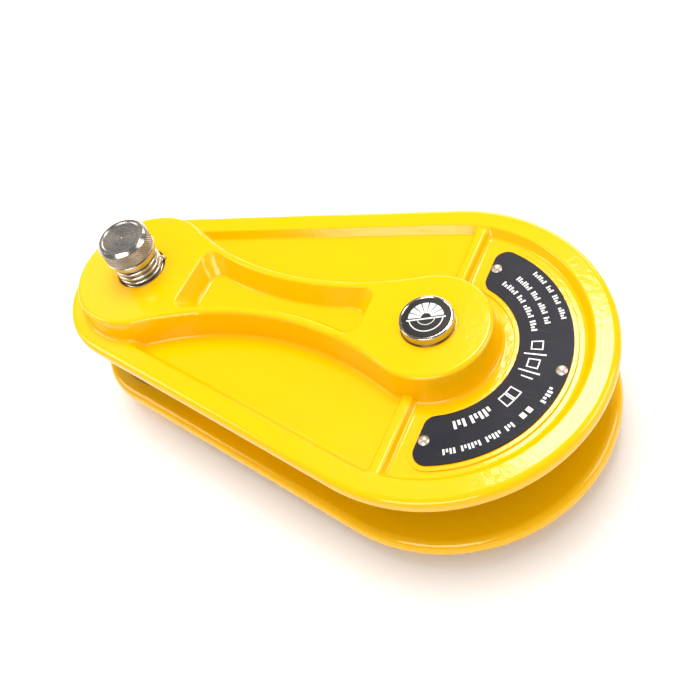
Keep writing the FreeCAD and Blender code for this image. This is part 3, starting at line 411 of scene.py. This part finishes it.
finishes = {
    "front_cheek": yellowCoat, "back_cheek": yellowCoat,
    "swing_bush": bronzeAxle, "rating_plate": plateBlue, "plate_rivets": rivetSteel,
    "axle": groundAxle, "axle_key": groundAxle, "cap_washer": groundAxle,
    "rope_sheave": alloyAxle, "rope_sheave_bush": bronzeAxle,
    "rope_sheave_front_washer": blackAxle, "rope_sheave_back_washer": blackAxle,
    "cap_disc": blackAxle,
    "sling_sheave": alloyPost, "sling_sheave_bush": bronzePost,
    "sling_sheave_front_washer": blackPost, "sling_sheave_back_washer": blackPost,
    "sling_post": groundPost, "bayonet_ring": groundPost, "post_dowels": groundPost,
    "post_screw": polishedPost, "post_screw_washer": polishedPost,
    "guide_bush": bronzePost, "spring_seat": groundPost, "latch_thrust_washer": groundPost,
    "latch_pin": groundPost, "knob_cross_pin": groundPost,
}
for nodeName, finish in finishes.items():
    nodes[nodeName].data.materials.clear()
    nodes[nodeName].data.materials.append(finish)


def knurledSteel():
    # turned steel that is dull where the knurl is cut in, with painted shade darkening its deep valleys and
    # the cross-pin hole
    material = turnedMetal("knurledSteel", postCentre, **turnedFinishes["turnedPolish"])
    tree = material.node_tree
    shader = tree.nodes["Principled BSDF"]
    cut = addNode(tree, "ShaderNodeAttribute", attribute_name="cut").outputs["Fac"]
    unshadedColour = shader.inputs["Base Color"].links[0].from_socket
    # painted shade: the deeper the cut, the closer the steel's colour goes to a dark brown
    deep = mathNode(tree, "POWER", cut, 2.5)
    shadedColour = mixColours(tree, deep, unshadedColour, (0.06, 0.048, 0.03, 1))
    tree.links.new(shadedColour, shader.inputs["Base Color"])
    smooth = shader.inputs["Roughness"].links[0].from_socket
    tree.links.new(mathNode(tree, "ADD", smooth, mathNode(tree, "MULTIPLY", cut, 0.15)),
                   shader.inputs["Roughness"])
    return material


# Latch knob: knurled band, groove, collar and a turned, dished top

knob = {"neck": 0.008, "chamfer": 0.0019, "arris": 0.00025, "collarHeight": 0.0024, "collarStep": 0.001,
        "grooveHeight": 0.0014, "grooveDepth": 0.0023, "bandRows": 40, "steps": 348,
        "diamonds": 58, "knurlDepth": 0.0005, "plainMargin": 0.0003,
        "topLip": 0.0016, "dishDepth": 0.0006, "pinPitDepth": 0.0016,
        "pinClearance": 0.0001, "centreMark": 0.0006}


def makeKnob():
    low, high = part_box("latch_knob")
    pinLow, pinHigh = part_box("knob_cross_pin")
    centre, reach = centreOf("latch_knob"), radiusOf("latch_knob")
    arris, neck, margin = knob["arris"], knob["neck"], knob["plainMargin"]
    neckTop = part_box("latch_pin")[1].z + knob["pinClearance"]
    collarTop = low.z + knob["collarHeight"]
    bandLow = collarTop + knob["grooveHeight"]
    bandHigh = high.z - knob["chamfer"]
    collar = reach - knob["collarStep"]
    waist = reach - knob["grooveDepth"]
    lip = reach - knob["chamfer"]
    dish, dishFloor = lip - knob["topLip"], high.z - knob["dishDepth"]
    rows = knob["bandRows"]
    profile = [(0, neckTop), (neck, neckTop), (neck, low.z), (collar - arris, low.z),
               (collar, low.z + arris), (collar, collarTop - arris), (collar - arris, collarTop),
               (waist, collarTop), (waist, bandLow), (reach - arris, bandLow)]
    profile += [(reach, bandLow + arris + (bandHigh - bandLow - 2 * arris) * row / rows)
                for row in range(rows + 1)]
    profile += [(reach - arris * 0.4, bandHigh), (lip + arris * 0.5, high.z - arris * 0.3),
                (lip - arris * 0.5, high.z), (dish + arris, high.z), (dish, high.z - arris)]
    # the floor of the dish falls a little towards a small centre mark
    profile += [(dish * share, dishFloor - (1 - share) * arris) for share in (0.97, 0.75, 0.5, 0.25)]
    profile += [(knob["centreMark"], dishFloor - arris), (0, dishFloor - 4 * arris)]
    bm = spunSolid(profile, centre, knob["steps"])
    bmesh.ops.remove_doubles(bm, verts=bm.verts, dist=1e-7)
    pinWay = Vector((pinHigh.x - pinLow.x, pinHigh.y - pinLow.y, 0)).normalized()
    pinHeight, pinRadius = (pinLow.z + pinHigh.z) / 2, (pinHigh.z - pinLow.z) / 2
    shade = bm.verts.layers.float.new("cut")
    for vert in bm.verts:
        out = Vector((vert.co.x - centre.x, vert.co.y - centre.y, 0))
        if abs(out.length - reach) > 1e-6 or not bandLow + margin < vert.co.z < bandHigh - margin:
            continue
        # crossed helical cuts leave rows of small pyramids
        around = math.atan2(out.y, out.x) / math.tau * knob["diamonds"]
        rise = (vert.co.z - bandLow) / (math.tau * reach / knob["diamonds"])
        cuts = [1 - abs(2 * (turn % 1) - 1) for turn in (around + rise, around - rise)]
        depth = knob["knurlDepth"] * (1 - min(cuts))
        # the cross pin's hole breaks through the band on both sides
        sideways = out - pinWay * out.dot(pinWay)
        if math.hypot(sideways.length, vert.co.z - pinHeight) < pinRadius:
            depth = knob["pinPitDepth"]
        # painted shade mask: how deep the cut is here, which the material turns into darker steel
        vert[shade] = min(1, depth / knob["knurlDepth"])
        vert.co -= out.normalized() * depth
    finishPiece("latch_knob_knurled", bm, "latch_turner", knurledSteel(),
                ["latch_knob"], sharpAngle=25)


print("knob")
makeKnob()


# Latch spring: a coil of round wire, and a hook from it down into the cheek

spring = {"wire": 0.0011, "turns": 5.4, "stepsPerTurn": 44, "wireSides": 14,
          "hookAngle": 39.6, "hookRadius": 0.0152, "hookDepth": 0.003, "hookTurn": 3,
          "hookBend": 0.0013, "bendSteps": 8}


def wireEnd(bm, point, way):
    # round end face of the wire, looking along way
    facing = way.to_track_quat("Z", "Y").to_matrix().to_4x4()
    ring = bmesh.ops.create_circle(bm, cap_ends=True, segments=spring["wireSides"],
                                   radius=spring["wire"], matrix=Matrix.Translation(point) @ facing)
    return ring["verts"][0].link_faces[0]


def drawWire(bm, face, centre, axis, angle, rise, steps):
    # pulls the wire round centre, or straight along rise, and gives its new end
    swept = bmesh.ops.spin(bm, geom=[face, *face.edges, *face.verts], cent=centre, axis=axis,
                           dvec=rise, angle=angle, steps=steps, use_merge=False, use_duplicate=False)
    return next(part for part in swept["geom_last"] if isinstance(part, bmesh.types.BMFace))


def makeSpring():
    low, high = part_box("latch_spring")
    centre, wire = centreOf("latch_spring"), spring["wire"]
    mean = radiusOf("latch_spring") - wire
    pitch = (high.z - low.z - 2 * wire) / spring["turns"]
    bm = bmesh.new()
    start = wireEnd(bm, Vector((centre.x + mean, centre.y, low.z + wire)), Vector((0, 1, 0)))
    drawWire(bm, start, centre, (0, 0, 1), math.tau * spring["turns"],
             (0, 0, pitch / spring["stepsPerTurn"]), round(spring["turns"] * spring["stepsPerTurn"]))
    piece = finishPiece("latch_spring_coil", bm, "front_side", wireSteel,
                        ["latch_spring"], sharpAngle=50)
    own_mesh(piece)

    # the hook stays in its hole while the coil shortens, so it is a piece of its own
    turn = math.radians(spring["hookAngle"])
    out, side = Vector((math.cos(turn), math.sin(turn), 0)), Vector((-math.sin(turn), math.cos(turn), 0))
    bend = spring["hookBend"]
    leave = Vector((centre.x, centre.y, low.z + wire + pitch * (spring["hookTurn"] + turn / math.tau)))
    bm = bmesh.new()
    face = wireEnd(bm, leave + out * mean, out)
    face = drawWire(bm, face, leave, side, 0, out * (spring["hookRadius"] - bend - mean), 1)
    pivot = leave + out * (spring["hookRadius"] - bend) - Vector((0, 0, bend))
    face = drawWire(bm, face, pivot, side, math.pi / 2, (0, 0, 0), spring["bendSteps"])
    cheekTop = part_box("front_cheek")[1].z
    drop = leave.z - bend - cheekTop + spring["hookDepth"]
    drawWire(bm, face, leave, side, 0, (0, 0, -drop), 1)
    finishPiece("latch_spring_hook", bm, "front_side", wireSteel, sharpAngle=50)


print("spring")
makeSpring()


# Axle cap: milled edge, flat rim and a fine bevel round the sunk disc

cap = {"ridges": 96, "ridgeDepth": 0.00012, "outerBevel": 0.0008, "innerBevel": 0.0004,
       "rimRows": 6, "stem": 0.006, "lowBevel": 0.0003, "discClearance": 0.0001,
       "ridgeStart": 0.0002, "ridgeEnd": 0.0004}


def makeCap():
    low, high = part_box("axle_cap")
    centre, reach = centreOf("axle_cap"), radiusOf("axle_cap")
    bore = radiusOf("cap_disc") + cap["discClearance"]
    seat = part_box("cap_washer")[1].z
    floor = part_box("cap_disc")[0].z
    stem, lowBevel = cap["stem"], cap["lowBevel"]
    outer, inner = cap["outerBevel"], cap["innerBevel"]
    rimLow = seat + lowBevel
    rimHeight = high.z - outer - lowBevel - rimLow
    profile = [(0, low.z), (stem, low.z), (stem, seat), (reach - lowBevel, seat), (reach, rimLow)]
    profile += [(reach, rimLow + rimHeight * row / cap["rimRows"]) for row in range(1, cap["rimRows"] + 1)]
    for step in range(5):
        turn = step * math.pi / 8
        profile.append((reach - outer * (1 - math.cos(turn)), high.z - outer * (1 - math.sin(turn))))
    profile += [(bore + inner, high.z), (bore, high.z - inner), (bore, floor), (0, floor)]
    bm = spunSolid(profile, centre, cap["ridges"] * 4)
    ridgeLow, ridgeHigh = rimLow + cap["ridgeStart"], high.z - outer - cap["ridgeEnd"]
    for vert in bm.verts:
        out = Vector((vert.co.x - centre.x, vert.co.y - centre.y, 0))
        if abs(out.length - reach) < 1e-6 and ridgeLow < vert.co.z < ridgeHigh:
            around = math.atan2(out.y, out.x) / math.tau * cap["ridges"]
            vert.co -= out.normalized() * cap["ridgeDepth"] * abs(2 * (around % 1) - 1)
    finishPiece("axle_cap_milled", bm, "back_side", polishedAxle, ["axle_cap"],
                sharpAngle=30)


print("cap")
makeCap()


# Plain inlay on the cap's disc: a half fan, a bar across it and half rings below

inlay = {"rise": 0.00006, "sink": 0.0001, "fan": (0.0026, 0.0094), "fanBlades": 7, "fanGap": 4.0,
         "rings": ((0.0046, 0.0050), (0.0086, 0.0092)), "ringSpan": 164, "turn": 112.0, "barLength": 0.0206,
         "barWidth": 0.0009, "barGap": 0.0005}


def makeInlay():
    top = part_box("cap_disc")[1].z
    heights = (top - inlay["sink"], top + inlay["rise"])
    bm = bmesh.new()
    blade = 180 / inlay["fanBlades"]
    for number in range(inlay["fanBlades"]):
        start = inlay["turn"] - 90 + number * blade
        arcBar(bm, axleCentre, inlay["fan"],
               (start + inlay["fanGap"] / 2, start + blade - inlay["fanGap"] / 2), heights)
    ringStart = inlay["turn"] + 180 - inlay["ringSpan"] / 2
    for radii in inlay["rings"]:
        arcBar(bm, axleCentre, radii, (ringStart, ringStart + inlay["ringSpan"]), heights)
    lift = Matrix.Translation((axleCentre.x, axleCentre.y, sum(heights) / 2))
    turn = Matrix.Rotation(math.radians(inlay["turn"]), 4, "Z")
    offset = Matrix.Translation((-inlay["barWidth"] / 2 - inlay["barGap"], 0, 0))
    size = Matrix.Diagonal((inlay["barWidth"], inlay["barLength"], heights[1] - heights[0], 1))
    bmesh.ops.create_cube(bm, size=1, matrix=lift @ turn @ offset @ size)
    finishPiece("cap_disc_inlay", bm, "back_side", plateMarking, sharpAngle=30)


makeInlay()


# Blank marking on the rating plate: rows of tally strokes, empty frames and plain bars

marking = {"rise": 0.00004, "sink": 0.0001, "wordGap": 1.9, "strokeShare": 0.6, "shortStroke": 0.62,
           "line": 0.0007}
markingRows = [
    # radius in metres, stroke height, first and last angle, strokes in each word
    (0.0688, 0.0027, 27.0, 57.0, (5, 4, 3, 6)),
    (0.0603, 0.0030, 26.0, 60.5, (3, 5, 4, 7)),
    (0.0529, 0.0030, 22.5, 64.0, (4, 5, 3, 6)),
    (0.0525, 0.0048, -58.5, -36.5, (3, 5)),
    (0.0664, 0.0032, -65.5, -33.0, (4, 6, 5, 3)),
    (0.0688, 0.0028, -17.5, -9.5, (5,)),
]
markingFrames = [
    # inner and outer radius in metres, first and last angle
    ((0.0512, 0.0576), (9.6, 15.6)),
    ((0.0512, 0.0576), (-2.4, 3.6)),
    ((0.0500, 0.0570), (-29.0, -23.6)),
    ((0.0500, 0.0570), (-23.2, -17.8)),
]
markingBars = [
    # the same, filled: two long strokes, a short one and two squares
    ((0.0482, 0.0598), (6.15, 7.05)),
    ((0.0482, 0.0598), (-5.55, -4.65)),
    ((0.0512, 0.0576), (-9.1, -8.3)),
    ((0.0645, 0.0677), (-28.4, -26.0)),
    ((0.0645, 0.0677), (-24.6, -22.2)),
]


def tallyRow(bm, heights, radius, tall, start, end, words):
    # strokes fill the arc from start to end, with a gap between words
    gaps = marking["wordGap"] * (len(words) - 1)
    pitch = (end - start - gaps) / (sum(words) - 0.5)
    angle = start
    for strokes in words:
        for number in range(strokes):
            # every third stroke is short, so that a row reads as hatching
            reach = tall * (marking["shortStroke"] if number % 3 == 1 else 1)
            arcBar(bm, axleCentre, (radius - tall / 2, radius - tall / 2 + reach),
                   (angle, angle + pitch * marking["strokeShare"]), heights)
            angle += pitch
        angle += marking["wordGap"]


def frameField(bm, heights, radii, angles):
    # open rectangle with concentric long sides
    line = marking["line"]
    inner, outer = radii
    first, last = angles
    span = math.degrees(line / outer)
    arcBar(bm, axleCentre, (inner, inner + line), (first, last), heights)
    arcBar(bm, axleCentre, (outer - line, outer), (first, last), heights)
    arcBar(bm, axleCentre, (inner + line, outer - line), (first, first + span), heights)
    arcBar(bm, axleCentre, (inner + line, outer - line), (last - span, last), heights)


def makeMarking():
    heights = (plateTop - marking["sink"], plateTop + marking["rise"])
    bm = bmesh.new()
    for row in markingRows:
        tallyRow(bm, heights, *row)
    for radii, angles in markingFrames:
        frameField(bm, heights, radii, angles)
    for radii, angles in markingBars:
        arcBar(bm, axleCentre, radii, angles, heights)
    finishPiece("rating_plate_marking", bm, "front_side", plateMarking, sharpAngle=30)


print("marking")
makeMarking()


# Floor, light and camera

studio = {"floorSize": 8.0, "floorDrop": 0.00005, "floorColour": (0.95, 0.95, 0.95, 1),
          "mirroredColour": (1, 0.88, 0.76), "roomLight": 0.92, "mirroredRoom": 0.22}
softboxes = [
    # name, place and size in metres, power in watts, lights the surfaces, shows in them
    ("overheadBox", (-0.25, 0.35, 1.75), (1.1, 1.1), 27, True, False),
    ("rimBox", (-0.125, 0.75, 1.31), (0.45, 0.4), 14, False, True),
    ("rightBox", (1.5, 0.6, 0.8), (1.0, 0.8), 18, False, True),
    ("frontBox", (0.2, -1.5, 1.0), (1.3, 0.7), 28, False, True),
    ("leftBox", (-1.5, -0.5, 0.9), (0.6, 1.0), 10, False, True),
    ("backBox", (-0.3, 1.6, 0.6), (1.4, 0.5), 13, False, True),
    ("knobBox", (-1.49, 0.72, 1.10), (0.2, 0.6), 0.5, False, True),
]


def makeFloor():
    bm = bmesh.new()
    level = cadBox[0].z - studio["floorDrop"]
    bmesh.ops.create_grid(bm, x_segments=1, y_segments=1, size=studio["floorSize"] / 2,
                          matrix=Matrix.Translation((0, 0, level)))
    mesh = bpy.data.meshes.new("studioFloor")
    bm.to_mesh(mesh)
    bm.free()
    floor = bpy.data.objects.new("studioFloor", mesh)
    bpy.context.scene.collection.objects.link(floor)
    material = newMaterial("studioFloor", Base_Color=studio["floorColour"], Roughness=0.9,
                           Specular_IOR_Level=0.1)[0]
    mesh.materials.append(material)


def makeSoftboxes():
    aim = Vector((centreOf("front_cheek").x, 0, 0))
    for name, place, (width, height), power, lit, mirrored in softboxes:
        light = bpy.data.lights.new(name, "AREA")
        light.shape = "RECTANGLE"
        light.size = width
        light.size_y = height
        light.energy = power
        light.color = studio["mirroredColour"] if mirrored else (1, 1, 1)
        lamp = bpy.data.objects.new(name, light)
        lamp.location = place
        lamp.visible_diffuse = lit
        lamp.visible_glossy = mirrored
        lamp.rotation_euler = (aim - Vector(place)).to_track_quat("-Z", "Y").to_euler()
        bpy.context.scene.collection.objects.link(lamp)


def makeSurroundings():
    # the camera and matt surfaces see a bright room, and reflections show a dimmer one
    world = bpy.data.worlds.new("studio")
    world.use_nodes = True
    tree = world.node_tree
    back = tree.nodes["Background"]
    path = addNode(tree, "ShaderNodeLightPath")
    indirect = addNode(tree, "ShaderNodeMapRange", {"Value": path.outputs["Is Glossy Ray"],
                                                    "To Min": studio["roomLight"],
                                                    "To Max": studio["mirroredRoom"]})
    strength = addNode(tree, "ShaderNodeMix", {0: path.outputs["Is Camera Ray"],
                                               2: indirect.outputs["Result"], 3: 1.0})
    back.inputs["Color"].default_value = (1, 1, 1, 1)
    tree.links.new(strength.outputs[0], back.inputs["Strength"])
    bpy.context.scene.world = world


view = {"target": (-0.0442, -0.0149, 0.0276), "distance": 0.48506, "azimuth": 43.05,
        "elevation": 51.17, "roll": -23.68, "lens": 45.53}


def makeCamera():
    azimuth, elevation = math.radians(view["azimuth"]), math.radians(view["elevation"])
    way = Vector((math.sin(azimuth) * math.cos(elevation), -math.cos(azimuth) * math.cos(elevation),
                  math.sin(elevation)))
    data = bpy.data.cameras.new("camera")
    data.lens = view["lens"]
    data.clip_start = 0.01
    camera = bpy.data.objects.new("camera", data)
    camera.location = Vector(view["target"]) + way * view["distance"]
    turn = (-way).to_track_quat("-Z", "Y") @ Quaternion((0, 0, 1), math.radians(view["roll"]))
    camera.rotation_euler = turn.to_euler()
    bpy.context.scene.collection.objects.link(camera)
    bpy.context.scene.camera = camera


print("studio")
makeFloor()
makeSoftboxes()
makeSurroundings()
makeCamera()
bpy.context.scene.view_settings.view_transform = "Standard"
